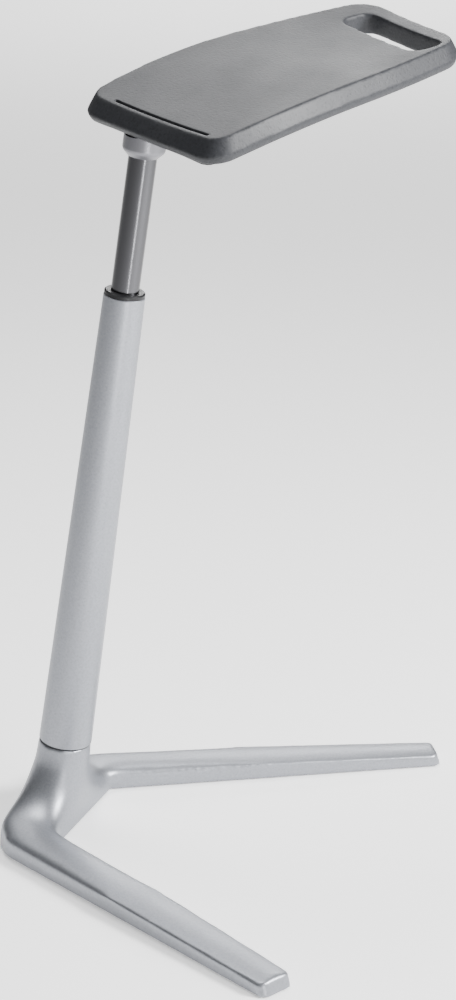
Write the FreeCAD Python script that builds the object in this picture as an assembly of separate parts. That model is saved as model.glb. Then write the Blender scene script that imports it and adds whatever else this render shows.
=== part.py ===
"""Perch stool: V-shaped cast foot, leaning tapered column, gas lift and a foam seat with a handle slot.

Millimetres. The row frame stands on the floor: +Z up, +X from the column towards the open side of the
foot, the origin on the floor under the joint between foot and column.
"""
import FreeCAD, Part
import math
import os
from FreeCAD import Placement, Rotation, Vector

# Foot casting: each leg tapers in width and height from its root to its tip
FOOT_GAP = 1.5
BAR_FRONT = 18.0
BAR_BACK = 46.0
LEG_ROOT = 92.3
LEG_ANGLE = 28.6
LEG_LENGTH = 377.0
LEG_OVERLAP = 70.0
LEG_ROOT_WIDTH = 57.5
LEG_TIP_WIDTH = 38.5
LEG_UNDERCUT = 4.7
LEG_ROOT_RIDGE = 25.0
LEG_TIP_RIDGE = 12.9
LEG_CROWN = 3.0
LEG_TIP_SLOPE = 4.0
LEG_CORNER = 8.5
HEEL_CORNER = 36.0
WEB_CORNER = 15.0
FOOT_WALL = 6.0
POCKET_ROOF = 7.0
POCKET_START = 62.0
POCKET_END = 318.0
POCKET_COUNT = 4
POCKET_RIB = 5.0

# Hub that rises from the foot to the column, as height, front, back, half width and squareness
RING_HEIGHT = 91.6
HUB_LEVELS = (
    (20.0, 18.5, -45.0, 90.0, 3.6),
    (28.0, 19.5, -44.0, 76.0, 3.0),
    (38.0, 21.0, -41.8, 55.0, 2.6),
    (52.0, 23.0, -38.2, 40.5, 2.3),
    (70.0, 25.0, -33.4, 31.5, 2.05),
)
HUB_POINTS = 24

# Column
COLUMN_LEAN = 8.65
TUBE_LENGTH = 490.0
TUBE_FOOT_RADIUS = 27.6
TUBE_TOP_RADIUS = 20.7
TUBE_WALL = 3.4
TUBE_RIM_ROUND = 1.0
JOINT_RING_THICKNESS = 1.6
JOINT_RING_INSET = 0.9

# Plug that joins the tube to the foot, and its bolt
PLUG_HEIGHT = 42.0
PLUG_RECESS_RADIUS = 14.0
PLUG_RECESS_DEPTH = 26.0
SPIGOT_RADIUS = 18.0
SPIGOT_LENGTH = 46.0
BOLT_RADIUS = 6.0
BOLT_GRIP = 30.0
BOLT_HEAD_RADIUS = 9.0
BOLT_HEAD_HEIGHT = 8.0
BOLT_SOCKET = 5.0
BOLT_WEB = 12.0
WASHER_RADIUS = 12.0
WASHER_THICKNESS = 2.0

# Thrust bearing, rod and bump stop at the foot of the gas lift
DISC_THICKNESS = 4.0
ROD_RADIUS = 5.0
ROD_END_RADIUS = 4.0
ROD_END_LENGTH = 24.0
RACE_RADIUS = 11.0
RACE_THICKNESS = 1.6
BALL_RADIUS = 2.0
BALL_COUNT = 8
BALL_PITCH_RADIUS = 7.6
CAGE_THICKNESS = 2.2
CLIP_RADIUS = 8.0
CLIP_THICKNESS = 1.5
STOP_RADIUS = 10.0
STOP_HEIGHT = 26.0

# Gas cylinder and its guide bush
CYLINDER_RADIUS = 14.0
CYLINDER_WALL = 1.5
CYLINDER_LENGTH = 322.0
CYLINDER_EXPOSED = 140.0
TAPER_LENGTH = 24.0
TAPER_TOP_RADIUS = 13.3
CYLINDER_MOUTH = 8.0
END_GUIDE_LENGTH = 14.0
SEAL_THICKNESS = 5.0
PISTON_LENGTH = 14.0
PISTON_HEIGHT = 430.0
VALVE_LENGTH = 30.0
PIN_RADIUS = 3.0
PIN_LENGTH = 30.0
PIN_TRAVEL = 4.0
BUSH_RADIUS = 17.0
BUSH_LENGTH = 80.0
BUSH_LIP = 4.5
BUSH_LIP_RADIUS = 20.3
BUSH_LIP_ROUND = 1.2

# Collar under the seat, with a narrower neck inside the foam
COLLAR_RADIUS = 21.0
COLLAR_ROUND = 6.0
NECK_RADIUS = 17.0

# Seat: a slab bent along an arc at the front and straight behind, wider low down than on top
SEAT_SWIVEL = 60.5
SEAT_PITCH = 21.7
SEAT_ABOVE_COLLAR = 54.5
SEAT_SETBACK = 20.0
SEAT_OFFSET = 26.0
SEAT_LENGTH = 339.0
SEAT_BEND_RADIUS = 1100.0
SEAT_BEND_LENGTH = 183.0
SEAT_FRONT_HALF = 91.3
SEAT_MIDDLE_HALF = 94.0
SEAT_REAR_HALF = 73.4
SEAT_BEVEL_DROP = 15.6
SEAT_SIDE_BEVEL = 8.2
SEAT_FRONT_BEVEL = 13.3
SEAT_REAR_BEVEL = 8.0
SEAT_SKIRT_DROP = 8.4
SEAT_SKIRT_INSET = 3.0
SEAT_DISH = 3.0
SEAT_FRONT_SKEW = 2.6
SEAT_REAR_SKEW = 4.8
SEAT_FRONT_CORNER = 17.0
SEAT_REAR_CORNER = 27.0
SEAT_STATIONS = 9
SEAT_OVERRUN = 40.0
GROOVE_SETBACK = 5.5
GROOVE_WIDTH = 2.4
GROOVE_DEPTH = 2.5
GROOVE_SHIFT = -7.0
GROOVE_HALF = 66.0

# Handle slot
SLOT_START = 279.5
SLOT_WIDTH = 40.0
SLOT_HALF_LENGTH = 60.5
SLOT_SHIFT = -9.0
SLOT_CORNER = 13.0

# Stiffener inside the foam, and the cover under it
INSERT_DEPTH = 14.5
INSERT_THICKNESS = 3.0
INSERT_MARGIN = 22.0
INSERT_CORNER = 15.0
PAN_DEPTH = 6.8
PAN_WALL = 2.5
PAN_STEP = 4.0
PAN_MARGIN = 16.0
PAN_START = -2.0
PAN_END = 262.0
PAN_CORNER = 12.0
PAN_OPENING_START = 28.0
PAN_OPENING_END = 146.0
PAN_OPENING_CORNER = 8.0
PAN_SCREW_START = 160.0
PAN_SCREW_END = 246.0
PAN_SCREW_SPREAD = 42.0

# Carrier plate, screws and release lever
PLATE_FRONT = -1.0
PLATE_REAR = 94.0
PLATE_HALF = 60.0
PLATE_THICKNESS = 3.0
PLATE_CORNER = 12.0
SCREW_RADIUS = 3.0
SCREW_HEAD_RADIUS = 5.2
SCREW_HEAD_HEIGHT = 2.2
SCREW_INSET = 10.0
LEVER_PIVOT = 30.0
LEVER_PIVOT_DROP = 5.5
LEVER_CLEARANCE = 2.0
LEVER_THICKNESS = 3.0
LEVER_WIDTH = 14.0
LEVER_TIP = 6.0
LEVER_BEND = 50.0
LEVER_FALL = 6.5
LEVER_REACH = 84.0
LEVER_REACH_FALL = 14.0
LEVER_EYE_RADIUS = 3.6
PIVOT_RADIUS = 2.0
EAR_THICKNESS = 2.5
EAR_LENGTH = 12.0
PADDLE_LENGTH = 28.0
PADDLE_HALF = 20.0
PADDLE_THICKNESS = 6.0
PADDLE_ROUND = 2.0

# Rubber glides and their screws
GLIDE_THICKNESS = 4.0
HEEL_GLIDE_FRONT = 7.0
HEEL_GLIDE_BACK = 29.0
HEEL_GLIDE_HALF = 62.0
TOE_GLIDE_LENGTH = 46.0
TOE_GLIDE_WIDTH = 22.0
TOE_GLIDE_SETBACK = 10.0
GLIDE_CORNER = 6.0
GLIDE_SCREW_RADIUS = 2.0
GLIDE_SCREW_HEAD = 4.0
GLIDE_SCREW_HEAD_HEIGHT = 1.6
GLIDE_SCREW_LENGTH = 9.0
GLIDE_SCREW_INSET = 9.0

# Clearances
RUNNING_FIT = 0.05
PRESS_GAP = 0.05
SEAT_GAP = 0.3
FREE_GAP = 1.0

X_AXIS = Vector(1, 0, 0)
Y_AXIS = Vector(0, 1, 0)
Z_AXIS = Vector(0, 0, 1)
ORIGIN = Vector(0, 0, 0)

# Heights along the column, from its lower end
BUSH_FOOT = TUBE_LENGTH - BUSH_LENGTH
DISC_HEIGHT = PLUG_HEIGHT
LOWER_RACE_HEIGHT = DISC_HEIGHT + DISC_THICKNESS
BALL_HEIGHT = LOWER_RACE_HEIGHT + RACE_THICKNESS + RUNNING_FIT + BALL_RADIUS
UPPER_RACE_HEIGHT = BALL_HEIGHT + BALL_RADIUS + RUNNING_FIT
ROD_HEIGHT = UPPER_RACE_HEIGHT + RACE_THICKNESS
COLLAR_HEIGHT = TUBE_LENGTH + CYLINDER_EXPOSED
CYLINDER_HEIGHT = COLLAR_HEIGHT - CYLINDER_LENGTH
TAPER_TOP = COLLAR_HEIGHT + TAPER_LENGTH
SEAT_HEIGHT = COLLAR_HEIGHT + SEAT_ABOVE_COLLAR

# Depths under the top of the seat
SEAT_EDGE = SEAT_BEVEL_DROP + SEAT_SKIRT_DROP
INSERT_BOTTOM = INSERT_DEPTH + INSERT_THICKNESS
PLATE_BOTTOM = INSERT_BOTTOM + PLATE_THICKNESS
PAN_BOTTOM = SEAT_EDGE + PAN_DEPTH
LEVER_TOP = PLATE_BOTTOM + LEVER_CLEARANCE
LEVER_BOTTOM = LEVER_TOP + LEVER_THICKNESS
PIVOT_DEPTH = PLATE_BOTTOM + LEVER_PIVOT_DROP
SEAT_BEND = SEAT_BEND_LENGTH / SEAT_BEND_RADIUS


def column_placement():
    """Frame at the lower end of the column, with Z along its leaning axis."""
    return Placement(Vector(0, 0, RING_HEIGHT), Rotation(Y_AXIS, COLUMN_LEAN))


def seat_placement():
    """Frame of the seat: X rearwards from its front rim, Z square to its top."""
    swivel = Placement(Vector(0, 0, SEAT_HEIGHT), Rotation(Z_AXIS, SEAT_SWIVEL))
    pitch = Placement(ORIGIN, Rotation(Y_AXIS, -SEAT_PITCH))
    pierce = Placement(Vector(-SEAT_SETBACK, -SEAT_OFFSET, 0), Rotation())
    return column_placement().multiply(swivel).multiply(pitch).multiply(pierce)


def leg_placement():
    """Frame of the leg on the +Y side: X along it from its root, on the floor."""
    return Placement(Vector(0, LEG_ROOT, 0), Rotation(Z_AXIS, LEG_ANGLE))


def placed(shape, placement):
    """Copy of a shape moved into a frame."""
    copy = shape.copy()
    copy.Placement = placement.multiply(copy.Placement)
    return copy


def polygon(points):
    """Closed wire through points."""
    return Part.makePolygon([Vector(*point) for point in points] + [Vector(*points[0])])


def revolved(profile):
    """Solid of revolution about Z from radius and height pairs."""
    wire = polygon([(radius, 0, height) for radius, height in profile])
    return Part.Face(wire).revolve(ORIGIN, Z_AXIS, 360)


def disc(radius, bottom, top):
    """Cylinder about Z between two heights."""
    return Part.makeCylinder(radius, top - bottom, Vector(0, 0, bottom))


def ring(outer, inner, bottom, top):
    """Plain ring about Z between two heights."""
    return disc(outer, bottom, top).cut(disc(inner, bottom, top))


def block(x0, x1, y0, y1, z0, z1):
    """Box between corners."""
    return Part.makeBox(x1 - x0, y1 - y0, z1 - z0, Vector(x0, y0, z0))


def upright_edges(shape, normal=Z_AXIS):
    """Straight edges that run along a direction."""
    found = []
    for edge in shape.Edges:
        along = edge.Vertexes[-1].Point - edge.Vertexes[0].Point
        if along.Length > 0 and along.normalize().cross(normal).Length < 0.001:
            found.append(edge)
    return found


def rounded_block(x0, x1, y0, y1, z0, z1, radius):
    """Box with rounded upright edges."""
    plain = block(x0, x1, y0, y1, z0, z1)
    return plain.makeFillet(radius, upright_edges(plain))


def mirrored(shape):
    """Copy on the other side of the foot."""
    return shape.mirror(ORIGIN, Y_AXIS)


def tube_inner_radius(height):
    """Radius inside the tapered part of the column tube."""
    taper = (TUBE_FOOT_RADIUS - TUBE_WALL - BUSH_RADIUS) / BUSH_FOOT
    return TUBE_FOOT_RADIUS - TUBE_WALL - taper * height


def leg_section(along, inset=0.0, bottom=FOOT_GAP, roof=0.0):
    """Cross-section of a leg: undercut sides, ridges and a crowned top."""
    share = along / LEG_LENGTH
    ridge_half = (LEG_ROOT_WIDTH + (LEG_TIP_WIDTH - LEG_ROOT_WIDTH) * share) / 2 - inset
    floor_half = ridge_half - LEG_UNDERCUT * (1 - share)
    ridge = LEG_ROOT_RIDGE + (LEG_TIP_RIDGE - LEG_ROOT_RIDGE) * share - roof
    low_left = Vector(along, -floor_half, bottom)
    low_right = Vector(along, floor_half, bottom)
    left = Vector(along, -ridge_half, ridge)
    right = Vector(along, ridge_half, ridge)
    crown = Vector(along, 0, ridge + LEG_CROWN)
    edges = [
        Part.LineSegment(low_left, low_right).toShape(),
        Part.LineSegment(low_right, right).toShape(),
        Part.Arc(right, crown, left).toShape(),
        Part.LineSegment(left, low_left).toShape(),
    ]
    return Part.Wire(edges)


def leg():
    """One leg with its leaning rounded end, in the leg frame."""
    body = Part.makeLoft([leg_section(-LEG_OVERLAP), leg_section(LEG_LENGTH + LEG_CORNER)], True, True)
    top = LEG_ROOT_RIDGE + LEG_CROWN + FREE_GAP
    reach = LEG_ROOT_WIDTH
    lean = LEG_TIP_SLOPE / LEG_TIP_RIDGE * top
    end = polygon([(LEG_LENGTH, -reach, 0), (LEG_LENGTH - lean, -reach, top), (LEG_LENGTH + reach, -reach, top),
                   (LEG_LENGTH + reach, -reach, 0)])
    body = body.cut(Part.Face(end).extrude(Vector(0, 2 * reach, 0)))
    corners = []
    for edge in body.Edges:
        ends = [vertex.Point for vertex in edge.Vertexes]
        at_tip = all(point.x > LEG_LENGTH - LEG_TIP_SLOPE - LEG_CORNER for point in ends)
        if at_tip and abs(ends[0].z - ends[-1].z) > LEG_TIP_RIDGE / 2:
            corners.append(edge)
    return body.makeFillet(LEG_CORNER, corners)


def leg_pockets():
    """Hollows under a leg, parted by ribs, in the leg frame."""
    pitch = (POCKET_END - POCKET_START + POCKET_RIB) / POCKET_COUNT
    pockets = []
    for index in range(POCKET_COUNT):
        start = POCKET_START + index * pitch
        end = start + pitch - POCKET_RIB
        sections = [leg_section(along, FOOT_WALL, 0, POCKET_ROOF) for along in (start, end)]
        pockets.append(Part.makeLoft(sections, True, True))
    return pockets


def crossbar():
    """Bar between the legs, with rounded heels and inner corners."""
    top = LEG_ROOT_RIDGE
    angle = math.radians(LEG_ANGLE)
    outer = (LEG_ROOT_WIDTH / 2 - LEG_UNDERCUT) / math.cos(angle)
    heel = LEG_ROOT + outer - BAR_BACK * math.tan(angle)
    front = LEG_ROOT + outer + BAR_FRONT * math.tan(angle)
    outline = polygon([(-BAR_BACK, -heel, 0), (-BAR_BACK, heel, 0), (BAR_FRONT, front, 0), (BAR_FRONT, -front, 0)])
    bar = Part.Face(outline).extrude(Vector(0, 0, top - FOOT_GAP))
    bar.translate(Vector(0, 0, FOOT_GAP))
    return bar


def heel_cutter(side):
    """What the rounded heel leaves out of the outer corner, on one side."""
    angle = math.radians(LEG_ANGLE)
    outer = (LEG_ROOT_WIDTH / 2 - LEG_UNDERCUT) / math.cos(angle)
    corner = Vector(-BAR_BACK, LEG_ROOT + outer - BAR_BACK * math.tan(angle), 0)
    reach = HEEL_CORNER * math.tan((math.pi / 2 - angle) / 2)
    along_back = Vector(0, -1, 0)
    along_leg = Vector(math.cos(angle), math.sin(angle), 0)
    first = corner + along_back * reach
    last = corner + along_leg * reach
    centre = first + Vector(HEEL_CORNER, 0, 0)
    middle = centre + (corner - centre).normalize() * HEEL_CORNER
    outside = corner + (corner - centre).normalize() * LEG_OVERLAP
    edges = [
        Part.Arc(first, middle, last).toShape(),
        Part.LineSegment(last, last + (last - centre).normalize() * LEG_OVERLAP).toShape(),
        Part.LineSegment(last + (last - centre).normalize() * LEG_OVERLAP, outside).toShape(),
        Part.LineSegment(outside, first + (first - centre).normalize() * LEG_OVERLAP).toShape(),
        Part.LineSegment(first + (first - centre).normalize() * LEG_OVERLAP, first).toShape(),
    ]
    cutter = Part.Face(Part.Wire(edges)).extrude(Vector(0, 0, RING_HEIGHT))
    return cutter if side > 0 else mirrored(cutter)


def hub_wire(height, front, back, half, squareness):
    """Closed curve round the hub at one height."""
    points = []
    for index in range(HUB_POINTS):
        turn = 2 * math.pi * index / HUB_POINTS
        cosine = math.cos(turn)
        sine = math.sin(turn)
        x = math.copysign(abs(cosine) ** (2 / squareness), cosine)
        y = math.copysign(abs(sine) ** (2 / squareness), sine)
        points.append(Vector((front + back) / 2 + (front - back) / 2 * x, half * y, height))
    curve = Part.BSplineCurve()
    curve.interpolate(points, PeriodicFlag=True)
    return Part.Wire(curve.toShape())


def hub_top_wire():
    """Circle at the joint with the column, square to its axis."""
    placement = column_placement()
    radius = TUBE_FOOT_RADIUS - JOINT_RING_INSET / 2
    points = []
    for index in range(HUB_POINTS):
        turn = 2 * math.pi * index / HUB_POINTS
        local = Vector(radius * math.cos(turn), radius * math.sin(turn), -JOINT_RING_THICKNESS)
        points.append(placement.multVec(local))
    curve = Part.BSplineCurve()
    curve.interpolate(points, PeriodicFlag=True)
    return Part.Wire(curve.toShape())


def hub():
    """Flared hub between the crossbar and the column."""
    wires = [hub_wire(*level) for level in HUB_LEVELS]
    return Part.makeLoft(wires + [hub_top_wire()], True, False)


def socket_cutter():
    """Bore for the plug, the bolt's hole and its counterbore, in the column frame."""
    web_top = -SPIGOT_LENGTH - SEAT_GAP
    web_bottom = web_top - BOLT_WEB
    bore = disc(SPIGOT_RADIUS + PRESS_GAP, web_top, FREE_GAP)
    hole = disc(BOLT_RADIUS + SEAT_GAP, web_bottom - FREE_GAP, web_top + FREE_GAP)
    counterbore = disc(WASHER_RADIUS + FREE_GAP, -RING_HEIGHT - WASHER_RADIUS, web_bottom)
    return bore.fuse(hole).fuse(counterbore)


def heel_glide_block(gap, bottom):
    """Outline of the heel glide grown by a gap, up to its seat."""
    return rounded_block(-HEEL_GLIDE_BACK - gap, HEEL_GLIDE_FRONT + gap, -HEEL_GLIDE_HALF - gap,
                         HEEL_GLIDE_HALF + gap, bottom, GLIDE_THICKNESS, GLIDE_CORNER)


def toe_glide_block(gap, bottom):
    """Outline of a toe glide grown by a gap, in the leg frame."""
    end = LEG_LENGTH - TOE_GLIDE_SETBACK + gap
    start = end - TOE_GLIDE_LENGTH - 2 * gap
    half = TOE_GLIDE_WIDTH / 2 + gap
    return rounded_block(start, end, -half, half, bottom, GLIDE_THICKNESS, GLIDE_CORNER)


def glide_screw_places():
    """Frames of the glide screws, under each glide."""
    places = []
    heel_x = (HEEL_GLIDE_FRONT - HEEL_GLIDE_BACK) / 2
    for side in (-1, 1):
        places.append(Vector(heel_x, side * (HEEL_GLIDE_HALF - GLIDE_SCREW_INSET), 0))
    end = LEG_LENGTH - TOE_GLIDE_SETBACK - GLIDE_SCREW_INSET
    start = LEG_LENGTH - TOE_GLIDE_SETBACK - TOE_GLIDE_LENGTH + GLIDE_SCREW_INSET
    for along in (start, end):
        spot = leg_placement().multVec(Vector(along, 0, 0))
        places.append(spot)
        places.append(Vector(spot.x, -spot.y, 0))
    return places


def glide_screw(gap):
    """Countersunk screw through a glide, or its hole when grown by a gap."""
    head_top = FOOT_GAP / 2 + GLIDE_SCREW_HEAD_HEIGHT
    head = disc(GLIDE_SCREW_HEAD + gap, FOOT_GAP / 2, head_top)
    shank = disc(GLIDE_SCREW_RADIUS + gap, head_top, head_top + GLIDE_SCREW_LENGTH)
    return head.fuse(shank)


def screw_holes(gap):
    """Holes of all the glide screws, open towards the floor."""
    holes = []
    for place in glide_screw_places():
        hole = glide_screw(gap).fuse(disc(GLIDE_SCREW_HEAD + gap, 0, FOOT_GAP))
        hole.translate(place)
        holes.append(hole)
    return holes


def foot_casting():
    """V-shaped casting: hub, crossbar and two legs, hollow underneath."""
    one_leg = placed(leg(), leg_placement())
    body = crossbar().multiFuse([one_leg, mirrored(one_leg), hub()])
    body = body.cut(block(-LEG_LENGTH, -BAR_BACK, -LEG_LENGTH, LEG_LENGTH, 0, RING_HEIGHT))
    cutters = [heel_cutter(1), heel_cutter(-1), placed(socket_cutter(), column_placement())]
    for pocket in leg_pockets():
        moved = placed(pocket, leg_placement())
        cutters.extend([moved, mirrored(moved)])
    toe = placed(toe_glide_block(SEAT_GAP, 0), leg_placement())
    cutters.extend([heel_glide_block(SEAT_GAP, 0), toe, mirrored(toe)])
    cutters.extend(screw_holes(PRESS_GAP))
    return body.cut(cutters).removeSplitter()


def heel_glide():
    """Rubber pad under the heel, which also closes the bolt's counterbore."""
    return heel_glide_block(0, 0).cut(screw_holes(PRESS_GAP)[:2])


def toe_glides():
    """Rubber pads under the toes."""
    toe = placed(toe_glide_block(0, 0), leg_placement())
    pads = Part.makeCompound([toe, mirrored(toe)])
    return pads.cut(screw_holes(PRESS_GAP)[2:])


def glide_screws():
    """Screws that hold the three glides."""
    screws = []
    for place in glide_screw_places():
        screw = glide_screw(0)
        screw.translate(place)
        screws.append(screw)
    return Part.makeCompound(screws)


def joint_ring():
    """Thin dark ring between the foot and the tube."""
    shape = ring(TUBE_FOOT_RADIUS - JOINT_RING_INSET, SPIGOT_RADIUS + SEAT_GAP, -JOINT_RING_THICKNESS, 0)
    return placed(shape, column_placement())


def column_tube():
    """Tapered tube with a straight bore for the guide bush."""
    rim = TUBE_RIM_ROUND
    profile = [
        (tube_inner_radius(0), 0),
        (TUBE_FOOT_RADIUS, 0),
        (TUBE_TOP_RADIUS, TUBE_LENGTH - rim),
        (TUBE_TOP_RADIUS - rim, TUBE_LENGTH),
        (BUSH_RADIUS, TUBE_LENGTH),
        (BUSH_RADIUS, BUSH_FOOT),
    ]
    return placed(revolved(profile), column_placement())


def column_plug():
    """Plug in the tube's foot, with a spigot for the casting and a recess for the rod's end."""
    foot = tube_inner_radius(0) - PRESS_GAP
    top = tube_inner_radius(PLUG_HEIGHT) - PRESS_GAP
    floor = PLUG_HEIGHT - PLUG_RECESS_DEPTH
    profile = [
        (0, -SPIGOT_LENGTH),
        (SPIGOT_RADIUS, -SPIGOT_LENGTH),
        (SPIGOT_RADIUS, 0),
        (foot, 0),
        (top, PLUG_HEIGHT),
        (PLUG_RECESS_RADIUS, PLUG_HEIGHT),
        (PLUG_RECESS_RADIUS, floor),
        (0, floor),
    ]
    thread = disc(BOLT_RADIUS + PRESS_GAP, -SPIGOT_LENGTH - FREE_GAP, BOLT_GRIP + FREE_GAP - SPIGOT_LENGTH)
    return placed(revolved(profile).cut(thread), column_placement())


def bolt_washer():
    """Washer under the bolt's head."""
    top = -SPIGOT_LENGTH - SEAT_GAP - BOLT_WEB
    shape = ring(WASHER_RADIUS, BOLT_RADIUS + SEAT_GAP, top - WASHER_THICKNESS, top)
    return placed(shape, column_placement())


def column_bolt():
    """Socket bolt that draws the plug into the casting."""
    under_head = -SPIGOT_LENGTH - SEAT_GAP - BOLT_WEB - WASHER_THICKNESS
    head_bottom = under_head - BOLT_HEAD_HEIGHT
    shape = disc(BOLT_HEAD_RADIUS, head_bottom, under_head)
    shape = shape.fuse(disc(BOLT_RADIUS, under_head, BOLT_GRIP - SPIGOT_LENGTH))
    corners = []
    for index in range(6):
        turn = math.radians(60 * index)
        corners.append((BOLT_SOCKET * math.cos(turn), BOLT_SOCKET * math.sin(turn), head_bottom))
    socket = Part.Face(polygon(corners)).extrude(Vector(0, 0, BOLT_SOCKET))
    return placed(shape.cut(socket), column_placement())


def base_disc():
    """Steel disc on the plug, which carries the gas lift's bearing."""
    outer = tube_inner_radius(LOWER_RACE_HEIGHT) - SEAT_GAP
    shape = ring(outer, ROD_END_RADIUS + SEAT_GAP, DISC_HEIGHT, LOWER_RACE_HEIGHT)
    return placed(shape, column_placement())


def thrust_lower_race():
    """Race that stays on the disc."""
    shape = ring(RACE_RADIUS, ROD_END_RADIUS + SEAT_GAP, LOWER_RACE_HEIGHT, LOWER_RACE_HEIGHT + RACE_THICKNESS)
    return placed(shape, column_placement())


def thrust_cage():
    """Cage with a pocket for each ball."""
    inner = ROD_END_RADIUS + SEAT_GAP
    shape = ring(RACE_RADIUS - SEAT_GAP, inner, BALL_HEIGHT - CAGE_THICKNESS / 2, BALL_HEIGHT + CAGE_THICKNESS / 2)
    pockets = []
    for spot in ball_centres():
        pockets.append(Part.makeCylinder(BALL_RADIUS + RUNNING_FIT, 2 * BALL_RADIUS, spot - Z_AXIS * BALL_RADIUS))
    return placed(shape.cut(pockets), column_placement())


def ball_centres():
    """Centres of the bearing's balls, in the column frame."""
    centres = []
    for index in range(BALL_COUNT):
        turn = 2 * math.pi * index / BALL_COUNT
        centres.append(Vector(BALL_PITCH_RADIUS * math.cos(turn), BALL_PITCH_RADIUS * math.sin(turn), BALL_HEIGHT))
    return centres


def thrust_balls():
    """Balls of the thrust bearing."""
    balls = [Part.makeSphere(BALL_RADIUS, centre) for centre in ball_centres()]
    return placed(Part.makeCompound(balls), column_placement())


def thrust_upper_race():
    """Race that turns with the rod."""
    shape = ring(RACE_RADIUS, ROD_END_RADIUS + PRESS_GAP, UPPER_RACE_HEIGHT, ROD_HEIGHT)
    return placed(shape, column_placement())


def rod_clip():
    """Clip that holds the rod's end under the disc."""
    top = DISC_HEIGHT - SEAT_GAP
    shape = ring(CLIP_RADIUS, ROD_END_RADIUS + PRESS_GAP, top - CLIP_THICKNESS, top)
    return placed(shape, column_placement())


def piston_rod():
    """Rod that stands on the bearing and carries the piston."""
    end = disc(ROD_END_RADIUS, ROD_HEIGHT - ROD_END_LENGTH, ROD_HEIGHT)
    shape = end.fuse(disc(ROD_RADIUS, ROD_HEIGHT, PISTON_HEIGHT + PISTON_LENGTH))
    return placed(shape, column_placement())


def bump_stop():
    """Rubber sleeve on the rod that cushions the lowest position."""
    shape = ring(STOP_RADIUS, ROD_RADIUS + PRESS_GAP, ROD_HEIGHT, ROD_HEIGHT + STOP_HEIGHT)
    return placed(shape, column_placement())


def piston():
    """Piston at the top of the rod, running in the cylinder."""
    bore = CYLINDER_RADIUS - CYLINDER_WALL
    shape = ring(bore - RUNNING_FIT, ROD_RADIUS + PRESS_GAP, PISTON_HEIGHT, PISTON_HEIGHT + PISTON_LENGTH)
    return placed(shape, column_placement())


def guide_bush():
    """Plastic bush in the tube's mouth with a rounded dark lip above the rim."""
    inner = CYLINDER_RADIUS + RUNNING_FIT
    outer = BUSH_RADIUS - PRESS_GAP
    lip_top = TUBE_LENGTH + BUSH_LIP
    profile = [
        (inner, BUSH_FOOT),
        (outer, BUSH_FOOT),
        (outer, TUBE_LENGTH),
        (BUSH_LIP_RADIUS, TUBE_LENGTH),
        (BUSH_LIP_RADIUS, lip_top - BUSH_LIP_ROUND),
        (BUSH_LIP_RADIUS - BUSH_LIP_ROUND, lip_top),
        (inner, lip_top),
    ]
    return placed(revolved(profile), column_placement())


def cylinder():
    """Gas cylinder with its taper for the collar."""
    bore = CYLINDER_RADIUS - CYLINDER_WALL
    taper_bore = TAPER_TOP_RADIUS - CYLINDER_WALL
    profile = [
        (bore, CYLINDER_HEIGHT),
        (CYLINDER_RADIUS, CYLINDER_HEIGHT),
        (CYLINDER_RADIUS, COLLAR_HEIGHT),
        (TAPER_TOP_RADIUS, TAPER_TOP),
        (CYLINDER_MOUTH, TAPER_TOP),
        (CYLINDER_MOUTH, TAPER_TOP - CYLINDER_WALL),
        (taper_bore, TAPER_TOP - CYLINDER_WALL),
        (taper_bore, TAPER_TOP - CYLINDER_WALL - VALVE_LENGTH),
        (bore, TAPER_TOP - CYLINDER_WALL - VALVE_LENGTH),
    ]
    return placed(revolved(profile), column_placement())


def cylinder_end_guide():
    """Guide for the rod in the cylinder's lower end."""
    outer = CYLINDER_RADIUS - CYLINDER_WALL - PRESS_GAP
    shape = ring(outer, ROD_RADIUS + RUNNING_FIT, CYLINDER_HEIGHT, CYLINDER_HEIGHT + END_GUIDE_LENGTH)
    return placed(shape, column_placement())


def cylinder_seal():
    """Rod seal above the guide."""
    outer = CYLINDER_RADIUS - CYLINDER_WALL - PRESS_GAP
    foot = CYLINDER_HEIGHT + END_GUIDE_LENGTH
    shape = ring(outer, ROD_RADIUS + RUNNING_FIT, foot, foot + SEAL_THICKNESS)
    return placed(shape, column_placement())


def pin_top():
    """Height of the release pin's end, just under the lever."""
    tilt = math.radians(SEAT_PITCH)
    return SEAT_HEIGHT - (LEVER_BOTTOM + SEAT_GAP) / math.cos(tilt) - PIN_RADIUS * math.tan(tilt)


def valve_body():
    """Valve in the cylinder's head, with a bore for the pin."""
    outer = TAPER_TOP_RADIUS - CYLINDER_WALL - PRESS_GAP
    top = TAPER_TOP - CYLINDER_WALL
    body = disc(outer, top - VALVE_LENGTH, top)
    bore = disc(PIN_RADIUS + RUNNING_FIT, pin_top() - PIN_LENGTH - PIN_TRAVEL - FREE_GAP, top)
    return placed(body.cut(bore), column_placement())


def release_pin():
    """Pin that opens the valve when the lever presses it."""
    return placed(disc(PIN_RADIUS, pin_top() - PIN_LENGTH, pin_top()), column_placement())


def spine(along, depth):
    """Point of the seat's middle plane at a length from the front rim and a depth under the top."""
    bend = min(along, SEAT_BEND_LENGTH) / SEAT_BEND_RADIUS
    straight = max(along - SEAT_BEND_LENGTH, 0)
    x = SEAT_BEND_RADIUS * math.sin(bend) + straight * math.cos(bend) - depth * math.sin(bend)
    z = SEAT_BEND_RADIUS * (math.cos(bend) - 1) - straight * math.sin(bend) - depth * math.cos(bend)
    return x, z


def seat_point(along, across, depth):
    """Point in the seat frame."""
    x, z = spine(along, depth)
    return Vector(x, across, z)


def spine_placement(along, across=0.0, depth=0.0):
    """Frame on the seat's spine, with Z square to the top there."""
    bend = min(along, SEAT_BEND_LENGTH) / SEAT_BEND_RADIUS
    return Placement(seat_point(along, across, depth), Rotation(Y_AXIS, math.degrees(bend)))


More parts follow.
